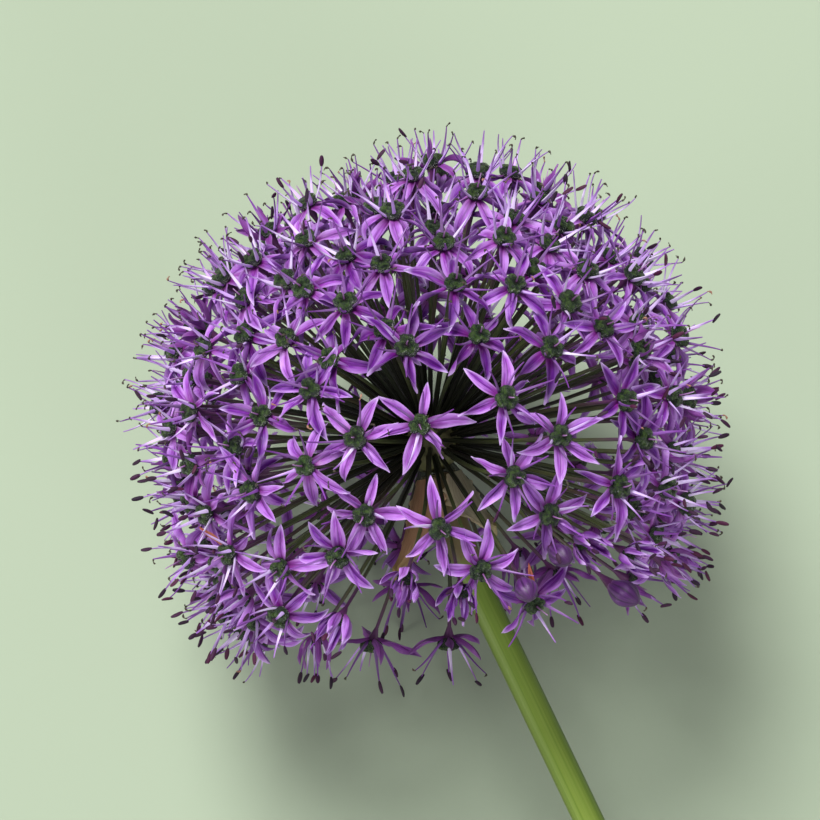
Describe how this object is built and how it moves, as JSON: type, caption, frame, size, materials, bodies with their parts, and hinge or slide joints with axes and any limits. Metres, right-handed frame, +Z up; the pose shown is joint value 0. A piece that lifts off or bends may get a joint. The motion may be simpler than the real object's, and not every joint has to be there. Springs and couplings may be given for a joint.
{
  "type": "allium flower head",
  "caption": "Ball-shaped allium flower head with star-shaped purple florets on radiating stalks, cut with a length of green stem and lying on its side.",
  "frame": {"origin": "middle of the base of the bounding box, on the surface that the flower lies on", "axes": "+Z up; +Y from the cut end of the stem towards the crown of the head; +X to the right seen from above"},
  "size_m": [0.1002, 0.1548, 0.09],
  "materials": {
    "florets": "soft satin petals, lilac at the edges and deep purple along the middle",
    "stem": "smooth waxy green plant stem",
    "bract": "dry papery tan with fine veins"
  },
  "bodies": {
    "root": {"umbel": "florets", "scape": "stem", "spathe_bract_left": "bract", "spathe_bract_right": "bract"}
  },
  "joints": []
}
